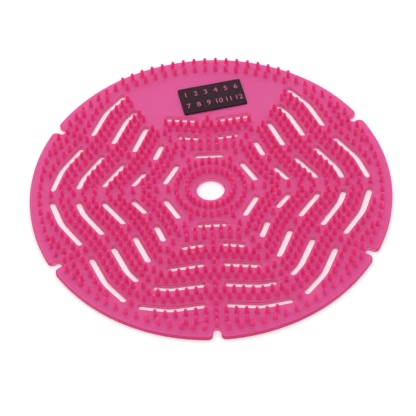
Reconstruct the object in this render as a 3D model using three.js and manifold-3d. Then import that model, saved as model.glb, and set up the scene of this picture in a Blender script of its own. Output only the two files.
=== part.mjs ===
// A round studded mat for the bottom of a urinal, moulded in one piece from a soft scented plastic.
// Six equal sectors of drain slots and upright studs stand round a centre hole, and one is partly bare.
// Units are millimetres, the mat lies on its flat underside, and the bare field is at the back, toward +Y.
import * as THREE from "three";
import { mergeGeometries, mergeVertices } from "three/addons/utils/BufferGeometryUtils.js";
import ManifoldModule from "manifold-3d";

// Plate
const matRadius = 93.1;
const plateThickness = 2.4;
const rimChamfer = 0.5;
const holeRadius = 7.2;

// Sectors, with a notch spoke down the middle of each and a web spoke between neighbours
const sectorCount = 6;
const sectorAngle = (2 * Math.PI) / sectorCount;
const firstSpoke = sectorAngle / 2;

// Notches in the rim, one on each spoke but the field's
const notchWidth = 3.9;
const notchDepth = 5.6;
const notchCorner = 2.5;

// Drain slots, in even rings from the first one out to the rim's border
const slotWidth = 3.1;
const ringCount = 5;
const ringStart = 23.25;
const rimBorder = 19.4;
const ringPitch = (matRadius - rimBorder - ringStart) / (ringCount - 1);
const firstSlotReach = 6;
const spokeMargin = 6.2;
const webMargin = 6.15;

// Bare field on one spoke, outside the last ring of slots that it keeps
const fieldSector = 1;
const fieldRings = 3;
const fieldMargin = 3.35;
const angleSlack = 0.01;

// Bend of the slots and the stud rows beside the spoke: straight, then outward, then back beyond the kink
const flatReach = 5.5;
const kinkReach = 22.6;
const rises = [0.165, 0.145, 0.125, 0.1, 0.105];
const fall = 0.185;

// Studs, with one circle of them outside the centre hole and one inside the first ring of slots
const studHeight = 4.8;
const studRadius = 1.3;
const studSides = 4;
const studRoot = 0.6;
const rowClearance = 2.8;
const farRowClearance = 2.75;
const lastRowStep = 5.3;
const innerCircle = { gap: 4.9, count: 24 };
const outerCircle = { gap: 5.5, count: 30 };
const notchStuds = { clearance: 1.65, step: 4, count: 2 };
const rimRow = { inset: 5.1, count: 96 };
const fieldRowInsets = [3.3, 8.3];

// Studs along each web, in ring pitches from the first ring
const webStuds = [-0.12, 0.36, 0.88, 1.33, 1.77, 2.35, 2.88, 3.35, 3.74, 4.21, 4.67];

// The two stud rows outside each ring: how many studs each holds on either side of the spoke, how many
// pitches from the spoke the far row starts, and how far from the web the near row ends
const rows = [
  { near: 3, far: 3, farStart: 0, webGap: 2.85 },
  { near: 5, far: 6, farStart: 0.5, webGap: 3.1 },
  { near: 6, far: 7, farStart: 0.5, webGap: 4.3 },
  { near: 7, far: 8, farStart: 0.5, webGap: 5.25 },
  { near: 6, far: 3, farStart: 1, webGap: 15.45 },
];

// Facets
const rimSegments = 72;
const holeSegments = 24;
const capSegments = 3;
const cornerSegments = 3;
const overrun = 1;
const weldReach = 1e-5;

const wasm = await ManifoldModule();
wasm.setup();

function toManifold(geometry) {
  const bare = new THREE.BufferGeometry();
  bare.setAttribute("position", geometry.getAttribute("position").clone());
  if (geometry.index) {
    bare.setIndex(geometry.index.clone());
  }
  const welded = mergeVertices(bare, weldReach);
  const mesh = new wasm.Mesh({
    numProp: 3,
    vertProperties: new Float32Array(welded.attributes.position.array),
    triVerts: new Uint32Array(welded.index.array),
  });
  return new wasm.Manifold(mesh);
}

function toGeometry(solid) {
  const mesh = solid.getMesh();
  const geometry = new THREE.BufferGeometry();
  geometry.setAttribute("position", new THREE.BufferAttribute(new Float32Array(mesh.vertProperties), 3));
  geometry.setIndex(new THREE.BufferAttribute(new Uint32Array(mesh.triVerts), 1));
  geometry.computeVertexNormals();
  return geometry;
}

// Points of an arc round a centre, both ends included
function arc(centre, radius, from, to, segments) {
  const points = [];
  for (let i = 0; i <= segments; i += 1) {
    const angle = from + ((to - from) * i) / segments;
    points.push(new THREE.Vector2(centre.x + radius * Math.cos(angle), centre.y + radius * Math.sin(angle)));
  }
  return points;
}

// A place given as distance out along a sector's spoke and distance across it
function place(sector, out, across) {
  const angle = firstSpoke + sector * sectorAngle;
  return new THREE.Vector2(out, across).rotateAround(new THREE.Vector2(0, 0), angle);
}

function ringRadius(ring) {
  return ringStart + ring * ringPitch;
}

// Half the width of a sector, from its spoke to its web, at a radius along the spoke
function halfWidth(radius) {
  return radius * Math.tan(sectorAngle / 2);
}

// How far a slot or stud row leans outward at a distance across the spoke
function lean(ring, across) {
  const reach = Math.abs(across);
  const rising = THREE.MathUtils.clamp(reach, flatReach, kinkReach) - flatReach;
  return rises[ring] * rising - fall * Math.max(reach - kinkReach, 0);
}

function inField(point) {
  const angle = Math.atan2(point.y, point.x);
  const fieldAngle = firstSpoke + fieldSector * sectorAngle;
  const fieldStart = ringRadius(fieldRings - 1) + fieldMargin;
  return Math.abs(angle - fieldAngle) < sectorAngle / 2 + angleSlack && point.length() > fieldStart;
}

// Outline of the notch on a spoke, with a round end and soft corners, run out past the rim
function notchOutline(sector) {
  const half = notchWidth / 2;
  const cornerAcross = half + notchCorner;
  const cornerOut = Math.sqrt((matRadius - notchCorner) ** 2 - cornerAcross ** 2);
  const cornerAngle = Math.atan2(cornerAcross, cornerOut);
  const end = new THREE.Vector2(matRadius - notchDepth + half, 0);
  const left = new THREE.Vector2(cornerOut, -cornerAcross);
  const right = new THREE.Vector2(cornerOut, cornerAcross);
  const points = [
    ...arc(end, half, 1.5 * Math.PI, Math.PI / 2, 2 * cornerSegments),
    ...arc(right, notchCorner, -Math.PI / 2, cornerAngle, cornerSegments),
    new THREE.Vector2(matRadius + overrun, cornerAcross),
    new THREE.Vector2(matRadius + overrun, -cornerAcross),
    ...arc(left, notchCorner, -cornerAngle, Math.PI / 2, cornerSegments),
  ];
  const centre = new THREE.Vector2(0, 0);
  return points.map((point) => point.rotateAround(centre, firstSpoke + sector * sectorAngle));
}

// Outline of a slot that follows a centre line, with round ends
function slotOutline(line) {
  const half = slotWidth / 2;
  const heading = line.slice(1).map((point, i) => point.clone().sub(line[i]).angle());
  const side = (turn) => line.slice(1, -1).map((point, i) => {
    const middle = (heading[i] + heading[i + 1]) / 2;
    const bend = Math.cos((heading[i + 1] - heading[i]) / 2);
    const step = new THREE.Vector2(half / bend, 0).rotateAround(new THREE.Vector2(), middle + turn);
    return point.clone().add(step);
  });
  const last = heading[heading.length - 1];
  const far = arc(line[line.length - 1], half, last - Math.PI / 2, last + Math.PI / 2, capSegments);
  const near = arc(line[0], half, heading[0] + Math.PI / 2, heading[0] + 1.5 * Math.PI, capSegments);
  return side(-Math.PI / 2).concat(far, side(Math.PI / 2).reverse(), near);
}

function slotOutlines() {
  const outlines = [];
  for (let sector = 0; sector < sectorCount; sector += 1) {
    const across = [-firstSlotReach, firstSlotReach];
    outlines.push(slotOutline(across.map((v) => place(sector, ringRadius(0), v))));
    const rings = sector === fieldSector ? fieldRings : ringCount;
    for (let ring = 1; ring < rings; ring += 1) {
      const end = halfWidth(ringRadius(ring)) - webMargin;
      const stops = end > kinkReach ? [spokeMargin, kinkReach, end] : [spokeMargin, end];
      const line = (hand) => stops.map((v) => place(sector, ringRadius(ring) + lean(ring, v), hand * v));
      outlines.push(slotOutline(line(1)), slotOutline(line(-1)));
    }
  }
  return outlines;
}

// A round slab between two heights
function slab(lowRadius, highRadius, low, high) {
  const geometry = new THREE.CylinderGeometry(highRadius, lowRadius, high - low, rimSegments);
  geometry.rotateX(Math.PI / 2);
  geometry.translate(0, 0, (low + high) / 2);
  return toManifold(geometry);
}

function plateSolid() {
  const shoulder = plateThickness - rimChamfer;
  const disc = slab(matRadius, matRadius, 0, shoulder)
    .add(slab(matRadius, matRadius - rimChamfer, shoulder, plateThickness));
  const hole = arc(new THREE.Vector2(0, 0), holeRadius, 0, 2 * Math.PI, holeSegments).slice(1);
  const openings = [hole, ...slotOutlines()];
  for (let sector = 0; sector < sectorCount; sector += 1) {
    if (sector !== fieldSector) {
      openings.push(notchOutline(sector));
    }
  }
  const cutters = openings.map((points) => {
    const depth = plateThickness + 2 * overrun;
    return new THREE.ExtrudeGeometry(new THREE.Shape(points), { depth, bevelEnabled: false });
  });
  const cutter = mergeGeometries(cutters);
  cutter.translate(0, 0, -overrun);
  return disc.subtract(toManifold(cutter));
}

// Distances across a spoke, in pitches, of the studs of a row that has as many on each side of the spoke
function bothSides(start, count) {
  const onSpoke = start === 0;
  const reaches = onSpoke ? [0] : [];
  for (let i = 0; i < count; i += 1) {
    const reach = onSpoke ? i + 1 : start + i;
    reaches.push(reach, -reach);
  }
  return reaches;
}

// Where every stud stands
function studPlaces() {
  const places = [];
  const addCircle = (radius, count) => {
    for (let i = 0; i < count; i += 1) {
      const angle = firstSpoke + (2 * Math.PI * i) / count;
      places.push(new THREE.Vector2(radius, 0).rotateAround(new THREE.Vector2(), angle));
    }
  };
  addCircle(holeRadius + innerCircle.gap, innerCircle.count);
  addCircle(ringStart - outerCircle.gap, outerCircle.count);
  const nearOffset = slotWidth / 2 + rowClearance;
  const farOffset = ringPitch - slotWidth / 2 - farRowClearance;
  for (let sector = 0; sector < sectorCount; sector += 1) {
    rows.forEach((row, ring) => {
      const near = ringRadius(ring) + nearOffset;
      const far = ring === ringCount - 1 ? near + lastRowStep : ringRadius(ring) + farOffset;
      const pitch = (halfWidth(near) - row.webGap) / row.near;
      const addRow = (radius, reaches) => reaches.forEach((reach) => {
        places.push(place(sector, radius + lean(ring, reach * pitch), reach * pitch));
      });
      addRow(near, bothSides(0, row.near));
      addRow(far, bothSides(row.farStart, row.far));
      if (ring > 0) {
        places.push(place(sector, ringRadius(ring), 0));
      }
    });
    for (let i = 0; i < notchStuds.count; i += 1) {
      places.push(place(sector, matRadius - notchDepth - notchStuds.clearance - i * notchStuds.step, 0));
    }
    const web = new THREE.Vector2(1, 0).rotateAround(new THREE.Vector2(), sector * sectorAngle);
    webStuds.forEach((pitches) => places.push(web.clone().setLength(ringStart + pitches * ringPitch)));
  }
  const kept = places.filter((point) => !inField(point));
  return kept.concat(rimPlaces());
}

// The row near the rim skips the notches, and is doubled behind the bare field
function rimPlaces() {
  const places = [];
  for (let i = 0; i < rimRow.count; i += 1) {
    const angle = firstSpoke + (2 * Math.PI * i) / rimRow.count;
    const point = new THREE.Vector2(matRadius - rimRow.inset, 0).rotateAround(new THREE.Vector2(), angle);
    const onSpoke = i % (rimRow.count / sectorCount) === 0;
    if (inField(point)) {
      fieldRowInsets.forEach((inset) => places.push(point.clone().setLength(matRadius - inset)));
    } else if (!onSpoke) {
      places.push(point);
    }
  }
  return places;
}

function studSolid() {
  const studs = studPlaces().map((point) => {
    const height = studHeight + studRoot;
    const radius = (studRadius * height) / studHeight;
    const stud = new THREE.ConeGeometry(radius, height, studSides);
    stud.rotateX(Math.PI / 2);
    stud.rotateZ(point.angle());
    stud.translate(point.x, point.y, plateThickness - studRoot + height / 2);
    return toManifold(stud);
  });
  return wasm.Manifold.union(studs);
}

const rubber = new THREE.MeshStandardMaterial({ color: "#dd4d8c", roughness: 0.48, metalness: 0 });

const body = toGeometry(plateSolid().add(studSolid()));
const screen = new THREE.Mesh(body, rubber);
screen.name = "screen";

// The origin is under the middle of the mat's own box
body.computeBoundingBox();
const middle = body.boundingBox.getCenter(new THREE.Vector3());
body.translate(-middle.x, -middle.y, 0);

const part = new THREE.Group();
part.name = "urinal_screen";
part.add(screen);

export default part;
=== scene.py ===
# A bright pink urinal screen: a soft round mat with drain slots and a forest of studs, on a white table.
# The script works in metres, and mm turns a size in millimetres into them.
import math
import random

import bpy
import numpy as np
from mathutils import Matrix, Vector
from mathutils.geometry import delaunay_2d_cdt


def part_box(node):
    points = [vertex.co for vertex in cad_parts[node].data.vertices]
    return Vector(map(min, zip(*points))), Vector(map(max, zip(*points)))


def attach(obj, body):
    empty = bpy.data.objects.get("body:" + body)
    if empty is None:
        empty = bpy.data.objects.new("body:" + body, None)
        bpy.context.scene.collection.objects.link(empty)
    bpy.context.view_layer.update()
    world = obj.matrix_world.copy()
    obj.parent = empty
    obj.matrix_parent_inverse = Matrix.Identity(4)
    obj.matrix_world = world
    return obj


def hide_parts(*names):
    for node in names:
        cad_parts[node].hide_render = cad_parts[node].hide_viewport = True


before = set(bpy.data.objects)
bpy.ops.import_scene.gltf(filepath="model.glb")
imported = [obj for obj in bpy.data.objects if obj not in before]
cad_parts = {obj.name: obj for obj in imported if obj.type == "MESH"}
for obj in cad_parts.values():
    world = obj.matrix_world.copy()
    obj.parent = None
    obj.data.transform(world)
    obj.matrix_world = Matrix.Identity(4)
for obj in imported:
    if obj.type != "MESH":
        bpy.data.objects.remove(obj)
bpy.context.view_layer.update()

# The mat: a thin round plate with a centre hole, bent drain slots in rings, and a notch in the rim on every
# spoke but the bare field's. Soft studs grow out of its top with small fillets. It is one shot of scented EVA
# from an injection mould, so every edge is a little round and no two studs stand quite alike.
mm = 0.001
low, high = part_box("screen")
mat_radius = 93.1 * mm
centre = Vector((0.0, high.y - mat_radius))
thickness = 2.4 * mm
top_edge, foot_edge = 0.30 * mm, 0.25 * mm
hole_radius = 7.2 * mm

sector_count = 6
sector_angle = math.tau / sector_count
field_sector = 1
notch_half, notch_depth, notch_corner = 1.95 * mm, 5.6 * mm, 2.5 * mm

ring_count, field_rings = 5, 3
ring_start, rim_border = 23.25 * mm, 19.4 * mm
ring_pitch = (mat_radius - rim_border - ring_start) / (ring_count - 1)
slot_half = 1.55 * mm
first_slot_reach = 6 * mm
spoke_margin, web_margin = 6.2 * mm, 6.15 * mm

# A slot's line across its sector: level near the spoke, then leaning out by its ring's rise, then falling
# back past a soft kink. Rises and fall are slopes, with one rise for each ring outside the first.
flat_reach, kink, kink_blend = 5.5 * mm, 22.6 * mm, 3.2 * mm
rises = [0.145, 0.125, 0.10, 0.105]
fall = 0.185
shortest_bend = 0.5 * mm

stud_height = high.z - thickness
foot_radius, tip_radius, fillet = 1.15 * mm, 0.84 * mm, 0.10 * mm
stud_sides = 12
most_lean = math.radians(1.2)

# The plate's pink is painted paler than the studs', as the table's light that shines through the thin plate,
# and the slots' walls are painted paler still, as the light that comes up through the slots. The rim's wall is
# painted deeper, as shade, and the rounded edge the deepest pink, a painted dark line of shade.
lit_plate_pinks = ("#E05197", "#E4579D")
stud_pinks = ("#E8408A", "#EC448E")
slot_wall_light_pink, rim_wall_shade_pink, edge_shade_pink = "#FA80B2", "#D83C78", "#A81C50"


def arc(middle, radius, start, end, steps):
    """Points of an arc, both ends included."""
    angles = [start + (end - start) * i / steps for i in range(steps + 1)]
    return [Vector((middle[0] + radius * math.cos(a), middle[1] + radius * math.sin(a))) for a in angles]


def in_sector(point, sector):
    """A point given along and across a sector's spoke, turned into the mat's own plane."""
    return Matrix.Rotation(sector_angle * (sector + 0.5), 2) @ Vector(point)


def rim_loop(inset):
    """The rim and its notches, moved into the plastic by inset."""
    across = notch_half + notch_corner
    out = math.sqrt((mat_radius - notch_corner) ** 2 - across ** 2)
    edge = math.atan2(across, out)
    end = mat_radius - notch_depth + notch_half
    loop = []
    for sector in range(sector_count):
        notched = sector != field_sector
        if notched:
            profile = arc((out, -across), notch_corner - inset, -edge, math.pi / 2, 8)
            profile += arc((end, 0), notch_half + inset, 1.5 * math.pi, 0.5 * math.pi, 14)
            profile += arc((out, across), notch_corner - inset, -math.pi / 2, edge, 8)
            loop += [in_sector(p, sector) for p in profile]
        start = edge if notched else 0.0
        stop = sector_angle - (edge if (sector + 1) % sector_count != field_sector else 0.0)
        rim = arc((0, 0), mat_radius - inset, start, stop, 40)
        loop += [in_sector(p, sector) for p in rim[1 if notched else 0:-1]]
    return loop


def slot_loop(line, inset):
    """A round-ended slot along a line of points, moved into the plastic by inset."""
    half = slot_half + inset
    headings = [math.atan2(*(b - a).yx) for a, b in zip(line, line[1:])]
    left, right = [], []
    for point, before, after in zip(line[1:-1], headings, headings[1:]):
        mean = (before + after) / 2
        sideways = half / math.cos((after - before) / 2) * Vector((-math.sin(mean), math.cos(mean)))
        left.append(point + sideways)
        right.append(point - sideways)
    far = arc(line[-1], half, headings[-1] - math.pi / 2, headings[-1] + math.pi / 2, 10)
    near = arc(line[0], half, headings[0] + math.pi / 2, headings[0] + 1.5 * math.pi, 10)
    return right + far + left[::-1] + near


def slot_lean(ring, across):
    """How far a ring's slot leans outward at a distance across its spoke."""
    rise = rises[ring - 1]
    rising = rise * (min(max(across, flat_reach), kink) - flat_reach)
    into_blend = min(max(across - kink + kink_blend, 0), 2 * kink_blend)
    softening = (rise + fall) * into_blend ** 2 / (4 * kink_blend)
    hard = (rise + fall) * max(into_blend - kink_blend, 0)
    return rising - fall * max(across - kink, 0) - softening + hard


def slot_lines():
    """The middle line of every drain slot: one across each spoke, and outside it a pair in every ring."""
    lines = []
    bend = [kink + kink_blend * step / 3 for step in range(-3, 4)]
    for sector in range(sector_count):
        lines.append([in_sector((ring_start, v), sector) for v in (-first_slot_reach, first_slot_reach)])
        for ring in range(1, field_rings if sector == field_sector else ring_count):
            radius = ring_start + ring * ring_pitch
            end = radius * math.tan(sector_angle / 2) - web_margin
            reaches = [spoke_margin, *[v for v in bend if v < end - shortest_bend], end]
            for hand in (1, -1):
                lines.append([in_sector((radius + slot_lean(ring, v), hand * v), sector) for v in reaches])
    return lines


def opening_loops(inset):
    """Every loop that bounds the plastic at this inset: the rim first, then the centre hole and the slots."""
    loops = [rim_loop(inset), arc((0, 0), hole_radius + inset, 0, math.tau, 64)[:-1]]
    return loops + [slot_loop(line, inset) for line in slot_lines()]


def edge_profile():
    """The plate's rounded edge in section, from the underside to the top: (inset, height) pairs."""
    foot = [(foot_edge * (1 - math.sin(a)), foot_edge * (1 - math.cos(a)))
            for a in (0, math.pi / 4, math.pi / 2)]
    steps = [math.pi / 2 * i / 4 for i in range(5)]
    crown = [(top_edge * (1 - math.cos(a)), thickness - top_edge * (1 - math.sin(a))) for a in steps]
    return foot + crown


def stud_profile():
    """A stud in section, from its fillet's foot to its domed tip: (radius, height above the plate) pairs."""
    foot = [(foot_radius + fillet, 0.0), (foot_radius + 0.3 * fillet, 0.3 * fillet), (foot_radius, fillet)]
    dome = [math.radians(degrees) for degrees in (0, 32, 62)]
    tip = [(tip_radius * math.cos(a), stud_height - tip_radius * (1 - math.sin(a))) for a in dome]
    return foot + tip


def stud_places():
    """Where the studs stand, read from their tips in the frame."""
    tips = {(round(v.co.x, 6), round(v.co.y, 6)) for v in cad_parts["screen"].data.vertices
            if v.co.z > high.z - 0.05 * mm}
    return [Vector(tip) - centre for tip in sorted(tips)]


def inside(points, loops):
    """Which points lie in the plastic, by counting the loop edges to the right of each."""
    starts = np.array([p for loop in loops for p in loop])
    ends = np.array([p for loop in loops for p in loop[1:] + loop[:1]])
    crossings = np.zeros(len(points), int)
    for start, end in zip(starts, ends):
        if start[1] == end[1]:
            continue
        spans = (points[:, 1] > start[1]) != (points[:, 1] > end[1])
        at = start[0] + (points[:, 1] - start[1]) * (end[0] - start[0]) / (end[1] - start[1])
        crossings += spans & (points[:, 0] < at)
    return crossings % 2 == 1


def flat_face(loops, first_ids):
    """Triangles that fill the plastic between loops that don't touch. first_ids number their first points."""
    points = [p for loop in loops for p in loop]
    ids = [first + i for loop, first in zip(loops, first_ids) for i in range(len(loop))]
    edges, at = [], 0
    for loop in loops:
        edges += [(at + i, at + (i + 1) % len(loop)) for i in range(len(loop))]
        at += len(loop)
    out, _, triangles, _, _, _ = delaunay_2d_cdt(points, edges, [], 1, 1e-7)
    assert len(out) == len(points), "two loops of the mat touch or cross"
    middles = np.array([sum((out[i] for i in t), Vector((0, 0))) / 3 for t in triangles])
    kept = inside(middles, loops)
    return [[ids[i] for i in t] for t, keep in zip(triangles, kept) if keep]


def band(lower, upper, count):
    """The ring of quads between two loops of count points, given by their first vertex numbers."""
    return [(lower + i, lower + (i + 1) % count, upper + (i + 1) % count, upper + i) for i in range(count)]


def build_mat():
    """The whole mat as one closed mesh. Its studs share the points of their feet with the plate's top."""
    verts, faces = [], []
    profile = edge_profile()
    rings = [opening_loops(inset) for inset, _ in profile]
    first_of = []
    for loops, (_, height) in zip(rings, profile):
        first = []
        for loop in loops:
            first.append(len(verts))
            verts += [(p.x + centre.x, p.y + centre.y, height) for p in loop]
        first_of.append(first)
    for lower, upper in zip(first_of, first_of[1:]):
        for a, b, loop in zip(lower, upper, rings[0]):
            faces += band(a, b, len(loop))
    faces += [triangle[::-1] for triangle in flat_face(rings[0], first_of[0])]

    random.seed(7)
    top_loops, top_first = list(rings[-1]), list(first_of[-1])
    for place in stud_places():
        angle = random.uniform(0, most_lean)
        tilt = Matrix.Rotation(angle, 3, Vector((random.uniform(-1, 1), random.uniform(-1, 1), 0.01)))
        turn = random.uniform(0, math.tau)
        stand = (place + centre).to_3d() + Vector((0, 0, thickness))
        previous = None
        for radius, height in stud_profile():
            first = len(verts)
            loop = arc((0, 0), radius, turn, turn + math.tau, stud_sides)[:-1]
            if previous is None:
                verts += [stand + p.to_3d() for p in loop]
                top_loops.append([place + p for p in loop])
                top_first.append(first)
            else:
                verts += [stand + tilt @ Vector((p.x, p.y, height)) for p in loop]
                faces += band(previous, first, stud_sides)
            previous = first
        faces.append(tuple(range(previous, previous + stud_sides)))
    faces += flat_face(top_loops, top_first)
    return verts, faces


def linear(code):
    """An sRGB hex colour as linear red, green, blue and full alpha."""
    parts = [int(code[i:i + 2], 16) / 255 for i in (1, 3, 5)]
    return [p / 12.92 if p <= 0.04045 else ((p + 0.055) / 1.055) ** 2.4 for p in parts] + [1.0]


def add_node(tree, kind, links=None, **settings):
    """Adds a shader node: settings are its properties or input values, links feed its inputs."""
    node = tree.nodes.new(kind)
    for name, value in settings.items():
        if hasattr(node, name):
            setattr(node, name, value)
        else:
            shown = name.replace("_", " ")
            next(s for s in node.inputs if s.name == shown and s.enabled).default_value = value
    for name, socket in (links or {}).items():
        if isinstance(name, int):
            tree.links.new(socket, node.inputs[name])
        else:
            tree.links.new(socket, next(s for s in node.inputs if s.name == name and s.enabled))
    return node


def new_material(name):
    """An empty node material with its output, as (material, tree, output)."""
    material = bpy.data.materials.new(name)
    material.use_nodes = True
    material.node_tree.nodes.clear()
    return material, material.node_tree, material.node_tree.nodes.new("ShaderNodeOutputMaterial")


# Moulded EVA, the soft and slightly clear plastic of flip-flop soles: light sinks in and comes out again a
# few millimetres away, which fills the shadows with pink. The mould's spark grain breaks up the sheen. The
# real grain is finer than a tenth of a millimetre, so it is drawn at 0.7 mm, where it begins to show.
def moulded_pink():
    cloud_size, grain_size, grain_depth = 28 * mm, 0.7 * mm, 0.06 * mm
    material, tree, output = new_material("moulded_pink_eva")
    place = add_node(tree, "ShaderNodeTexCoord").outputs["Object"]
    cloud = add_node(tree, "ShaderNodeTexNoise", {"Vector": place}, Scale=1 / cloud_size, Detail=3.0)
    plate_tint = add_node(tree, "ShaderNodeMix", {"Factor": cloud.outputs["Fac"]}, data_type="RGBA",
                          A=linear(lit_plate_pinks[0]), B=linear(lit_plate_pinks[1]))
    stud_tint = add_node(tree, "ShaderNodeMix", {"Factor": cloud.outputs["Fac"]}, data_type="RGBA",
                         A=linear(stud_pinks[0]), B=linear(stud_pinks[1]))

    # Walls stand upright, level faces lie flat, and the rounded edge lies between them. The slots' walls take
    # painted light, the rim's wall painted shade, and the rounded edge a painted dark line of shade.
    normal = add_node(tree, "ShaderNodeNewGeometry").outputs["Normal"]
    facing = add_node(tree, "ShaderNodeSeparateXYZ", {"Vector": normal})
    flatness = add_node(tree, "ShaderNodeMath", {0: facing.outputs["Z"]}, operation="ABSOLUTE").outputs[0]
    reach = add_node(tree, "ShaderNodeVectorMath", {0: place}, operation="LENGTH")
    at_rim = add_node(tree, "ShaderNodeMapRange", {"Value": reach.outputs["Value"]},
                      From_Min=mat_radius - 1.6 * mm, From_Max=mat_radius - 0.8 * mm)
    wall_light_and_shade = add_node(tree, "ShaderNodeMix", {"Factor": at_rim.outputs["Result"]}, data_type="RGBA",
                    A=linear(slot_wall_light_pink), B=linear(rim_wall_shade_pink))
    rounding = add_node(tree, "ShaderNodeMapRange", {"Value": flatness}, From_Min=0.25, From_Max=0.60)
    edge = add_node(tree, "ShaderNodeMix", {"Factor": rounding.outputs["Result"],
                                            "A": wall_light_and_shade.outputs["Result"]},
                    data_type="RGBA", B=linear(edge_shade_pink))

    # The studs' pink starts at their fillets and is full a little way up
    height = add_node(tree, "ShaderNodeSeparateXYZ", {"Vector": place}).outputs["Z"]
    above_edge = add_node(tree, "ShaderNodeMapRange", {"Value": height},
                          From_Min=thickness - 0.03 * mm, From_Max=thickness + 0.02 * mm)
    side = add_node(tree, "ShaderNodeMix", {"Factor": above_edge.outputs["Result"],
                                            "A": edge.outputs["Result"], "B": stud_tint.outputs["Result"]},
                    data_type="RGBA")
    level = add_node(tree, "ShaderNodeMapRange", {"Value": flatness}, From_Min=0.85, From_Max=0.99)
    slab = add_node(tree, "ShaderNodeMix", {"Factor": level.outputs["Result"],
                                            "A": side.outputs["Result"], "B": plate_tint.outputs["Result"]},
                    data_type="RGBA")
    up_stud = add_node(tree, "ShaderNodeMapRange", {"Value": height},
                       From_Min=thickness + 0.1 * mm, From_Max=thickness + 1.2 * mm)
    tint = add_node(tree, "ShaderNodeMix", {"Factor": up_stud.outputs["Result"],
                                            "A": slab.outputs["Result"], "B": stud_tint.outputs["Result"]},
                    data_type="RGBA")

    grain = add_node(tree, "ShaderNodeTexNoise", {"Vector": place}, Scale=1 / grain_size, Detail=2.0)
    bump = add_node(tree, "ShaderNodeBump", {"Height": grain.outputs["Fac"]}, Strength=0.25,
                    Distance=grain_depth)
    sheen = add_node(tree, "ShaderNodeMapRange", {"Value": cloud.outputs["Fac"]}, To_Min=0.46, To_Max=0.54)
    shader = add_node(tree, "ShaderNodeBsdfPrincipled",
                      {"Base Color": tint.outputs["Result"], "Roughness": sheen.outputs["Result"],
                       "Normal": bump.outputs["Normal"]},
                      IOR=1.45, Specular_IOR_Level=0.35, Subsurface_Weight=0.9,
                      Subsurface_Radius=(1.0, 0.35, 0.55), Subsurface_Scale=3.0 * mm)
    tree.links.new(shader.outputs["BSDF"], output.inputs["Surface"])
    return material


def mesh_object(name, verts, faces, material, smooth_angle):
    """A mesh in the scene with one material, smooth over edges flatter than smooth_angle degrees."""
    data = bpy.data.meshes.new(name)
    data.from_pydata(verts, [], faces)
    data.materials.append(material)
    data.shade_smooth()
    data.set_sharp_from_angle(angle=math.radians(smooth_angle))
    data.update()
    made = bpy.data.objects.new(name, data)
    bpy.context.scene.collection.objects.link(made)
    return made


mat = mesh_object("mat", *build_mat(), moulded_pink(), 35)
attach(mat, "root")
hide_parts("screen")

# Black plate on the bare field, with the twelve months' numbers in two rows for marking when the mat was laid.
# It is a thin moulded plate with soft corners, pressed flat onto the mat, and the numbers are pad printed.
plate_size = Vector((34.5, 18.6, 1.0)) * mm
plate_middle = Vector((3.2, 64.6, 0)) * mm + centre.to_3d()
plate_turn = math.radians(11)
plate_corner, plate_edge = 1.0 * mm, 0.3 * mm
plate_blacks = ("#2E1A22", "#35202A")
number_size, column_pitch, row_pitch = 4.6 * mm, 5.5 * mm, 8.2 * mm
ink_depth = 0.03 * mm
ink_pinks = ("#C2558A", "#D06296")


def rounded_plate():
    """A plate with round corners and a softened top edge, standing on its own zero."""
    half = plate_size / 2
    verts, faces = [], []
    section = ((0, 0), (0, plate_size.z - plate_edge),
               (0.3 * plate_edge, plate_size.z - 0.3 * plate_edge), (plate_edge, plate_size.z))
    for inset, height in section:
        for quarter, (x, y) in enumerate(((1, 1), (-1, 1), (-1, -1), (1, -1))):
            middle = (x * (half.x - plate_corner), y * (half.y - plate_corner))
            start = quarter * math.pi / 2
            verts += [(*p, height) for p in arc(middle, plate_corner - inset, start, start + math.pi / 2, 8)]
    count = len(verts) // len(section)
    for ring in range(len(section) - 1):
        faces += band(ring * count, (ring + 1) * count, count)
    faces += [tuple(range(len(verts) - count, len(verts))), tuple(range(count))[::-1]]
    return verts, faces


# Matt black ABS with a moulded grain: near black, with only a weak grey sheen where the room reflects in it.
# The grain is drawn at half a millimetre, coarser than the real one, so that it shows.
def black_plastic():
    grain_size, grain_depth, patch_size = 0.5 * mm, 0.02 * mm, 9 * mm
    material, tree, output = new_material("matt_black_abs")
    place = add_node(tree, "ShaderNodeTexCoord").outputs["Object"]
    grain = add_node(tree, "ShaderNodeTexNoise", {"Vector": place}, Scale=1 / grain_size, Detail=2.0)
    bump = add_node(tree, "ShaderNodeBump", {"Height": grain.outputs["Fac"]}, Strength=0.2,
                    Distance=grain_depth)
    patch = add_node(tree, "ShaderNodeTexNoise", {"Vector": place}, Scale=1 / patch_size, Detail=3.0)
    tint = add_node(tree, "ShaderNodeMix", {"Factor": patch.outputs["Fac"]}, data_type="RGBA",
                    A=linear(plate_blacks[0]), B=linear(plate_blacks[1]))
    sheen = add_node(tree, "ShaderNodeMapRange", {"Value": patch.outputs["Fac"]}, To_Min=0.55, To_Max=0.65)
    shader = add_node(tree, "ShaderNodeBsdfPrincipled",
                      {"Base Color": tint.outputs["Result"], "Roughness": sheen.outputs["Result"],
                       "Normal": bump.outputs["Normal"]},
                      IOR=1.5, Specular_IOR_Level=0.12)
    tree.links.new(shader.outputs["BSDF"], output.inputs["Surface"])
    return material


# Pad-printing ink in the mat's own pink: flat, and slightly uneven where the pad left it thin.
def pink_print():
    speck_size = 0.6 * mm
    material, tree, output = new_material("pad_printed_pink_ink")
    place = add_node(tree, "ShaderNodeTexCoord").outputs["Object"]
    speck = add_node(tree, "ShaderNodeTexNoise", {"Vector": place}, Scale=1 / speck_size, Detail=2.0)
    tint = add_node(tree, "ShaderNodeMix", {"Factor": speck.outputs["Fac"]}, data_type="RGBA",
                    A=linear(ink_pinks[0]), B=linear(ink_pinks[1]))
    shader = add_node(tree, "ShaderNodeBsdfPrincipled", {"Base Color": tint.outputs["Result"]},
                      Roughness=0.5, Specular_IOR_Level=0.2)
    tree.links.new(shader.outputs["BSDF"], output.inputs["Surface"])
    return material


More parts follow.
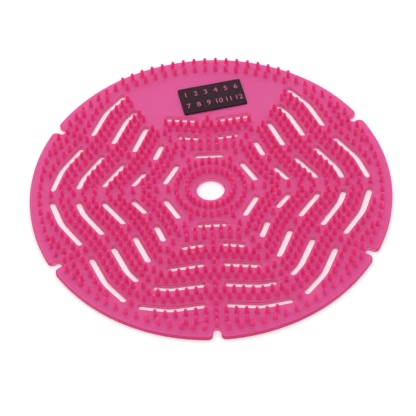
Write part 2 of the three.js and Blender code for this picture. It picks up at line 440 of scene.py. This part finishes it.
seat = Matrix.Translation(plate_middle + Vector((0, 0, thickness))) @ Matrix.Rotation(plate_turn, 4, "Z")
month_plate = mesh_object("month_plate", *rounded_plate(), black_plastic(), 40)
month_plate.matrix_world = seat
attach(month_plate, "root")

number_ink = pink_print()
for month in range(1, 13):
    row, column = divmod(month - 1, 6)
    text = bpy.data.curves.new("month_%d" % month, "FONT")
    text.body = str(month)
    text.size = number_size
    text.extrude = ink_depth
    text.align_x, text.align_y = "CENTER", "CENTER"
    text.materials.append(number_ink)
    number = bpy.data.objects.new("month_%d" % month, text)
    bpy.context.scene.collection.objects.link(number)
    spot = Vector(((column - 2.5) * column_pitch, (0.5 - row) * row_pitch, plate_size.z + ink_depth))
    number.matrix_world = seat @ Matrix.Translation(spot)
    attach(number, "root")

# White table top under the mat, of board under matt paint. It takes the mat's soft shadow, and a glow that only
# the eye and reflections see lifts it to plain white away from that shadow, with no more light on the mat.
table_half = 3.0
table_whites = ("#F7F7F7", "#FAFAFA")
table_glow = 0.22


def seen_directly(tree):
    """1 for camera, glossy and transmission rays, 0 for the rays that only carry light onto other things."""
    path = add_node(tree, "ShaderNodeLightPath")
    seen = path.outputs["Is Camera Ray"]
    for kind in ("Is Glossy Ray", "Is Transmission Ray"):
        seen = add_node(tree, "ShaderNodeMath", {0: seen, 1: path.outputs[kind]},
                        operation="MAXIMUM").outputs["Value"]
    return seen


# Matt wall paint on board: an even white with hardly a cloud in it, and no gloss.
def white_paint():
    cloud_size = 60 * mm
    material, tree, output = new_material("matt_painted_white_table")
    place = add_node(tree, "ShaderNodeTexCoord").outputs["Object"]
    cloud = add_node(tree, "ShaderNodeTexNoise", {"Vector": place}, Scale=1 / cloud_size, Detail=2.0)
    tint = add_node(tree, "ShaderNodeMix", {"Factor": cloud.outputs["Fac"]}, data_type="RGBA",
                    A=linear(table_whites[0]), B=linear(table_whites[1]))
    paint = add_node(tree, "ShaderNodeBsdfDiffuse", {"Color": tint.outputs["Result"]})
    strength = add_node(tree, "ShaderNodeMapRange", {"Value": seen_directly(tree)}, To_Max=table_glow)
    glow = add_node(tree, "ShaderNodeEmission", {"Strength": strength.outputs["Result"]})
    both = add_node(tree, "ShaderNodeAddShader", {0: paint.outputs["BSDF"], 1: glow.outputs["Emission"]})
    tree.links.new(both.outputs["Shader"], output.inputs["Surface"])
    return material


corners = [(x * table_half, y * table_half, 0) for x, y in ((-1, -1), (1, -1), (1, 1), (-1, 1))]
floor = mesh_object("floor", corners, [(0, 1, 2, 3)], white_paint(), 30)

# Soft studio light: an even white room, seen as plain white, and a wide lamp above and behind the mat that
# leaves the studs' near sides a little in shade. Together they light a level surface to its painted colour.
room_light = 0.85
lamp_power, lamp_size = 3.0, 0.9
lamp_place = Vector((-0.15, 0.75, 0.95))

world = bpy.data.worlds.new("room")
bpy.context.scene.world = world
world.use_nodes = True
room = world.node_tree.nodes["Background"]
room.inputs["Color"].default_value = linear("#FFFFFF")
room_strength = add_node(world.node_tree, "ShaderNodeMapRange", {"Value": seen_directly(world.node_tree)},
                         To_Min=room_light, To_Max=1.0)
world.node_tree.links.new(room_strength.outputs["Result"], room.inputs["Strength"])

light = bpy.data.lights.new("overhead_lamp", "AREA")
light.size = lamp_size
light.energy = lamp_power
lamp = bpy.data.objects.new("overhead_lamp", light)
lamp.location = lamp_place
lamp.rotation_euler = (-lamp_place).to_track_quat("-Z", "Y").to_euler()
bpy.context.scene.collection.objects.link(lamp)

# Camera: above and in front of the mat, with the long lens of the photograph. The focal length is given in
# pixels of an image 416 pixels wide.
aim = Vector((-1.77, -10.60, 0)) * mm
heading, elevation, roll = math.radians(0.03), math.radians(50.36), math.radians(-2.57)
distance = 857 * mm
focal_pixels, image_width = 1676.5, 416

camera_data = bpy.data.cameras.new("camera")
camera_data.lens = camera_data.sensor_width * focal_pixels / image_width
camera = bpy.data.objects.new("camera", camera_data)
turned = Matrix.Rotation(heading, 4, "Z")
tilted = Matrix.Rotation(math.pi / 2 - elevation, 4, "X") @ Matrix.Rotation(roll, 4, "Z")
camera.location = turned @ (aim + distance * Vector((0, -math.cos(elevation), math.sin(elevation))))
camera.rotation_euler = (turned @ tilted).to_euler()
bpy.context.scene.collection.objects.link(camera)
bpy.context.scene.camera = camera
bpy.context.scene.view_settings.view_transform = "Standard"
